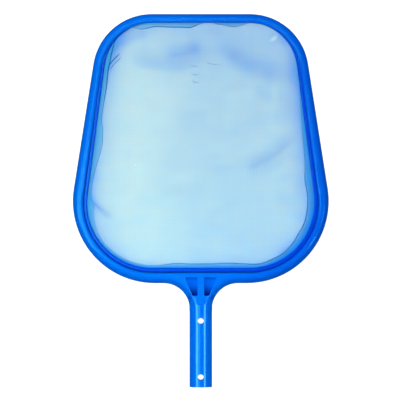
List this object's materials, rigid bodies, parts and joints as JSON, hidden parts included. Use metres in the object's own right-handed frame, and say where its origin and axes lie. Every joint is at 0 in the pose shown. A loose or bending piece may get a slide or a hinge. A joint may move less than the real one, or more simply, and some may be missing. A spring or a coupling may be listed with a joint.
{
  "type": "leaf skimmer net",
  "caption": "Flat skimmer head: moulded frame with a tubular pole handle and a fine mesh net clamped inside its rim by a ring.",
  "frame": {"origin": "middle of the handle tube's open end, on the tube's axis", "axes": "+Y from the handle to the leading edge, +Z out of the tray (the side that faces up when leaves are lifted), +X to the right seen from +Z with +Y up"},
  "size_m": [0.295, 0.43, 0.0265],
  "materials": {
    "frame_plastic": "glossy injection-moulded polypropylene, mid blue",
    "ring_plastic": "the same mid-blue polypropylene, slightly duller",
    "net_mesh": "fine plain-woven monofilament mesh, pale blue, see-through"
  },
  "bodies": {
    "root": {"frame": "frame_plastic", "retaining_ring": "ring_plastic", "mesh_net": "net_mesh"}
  },
  "joints": []
}
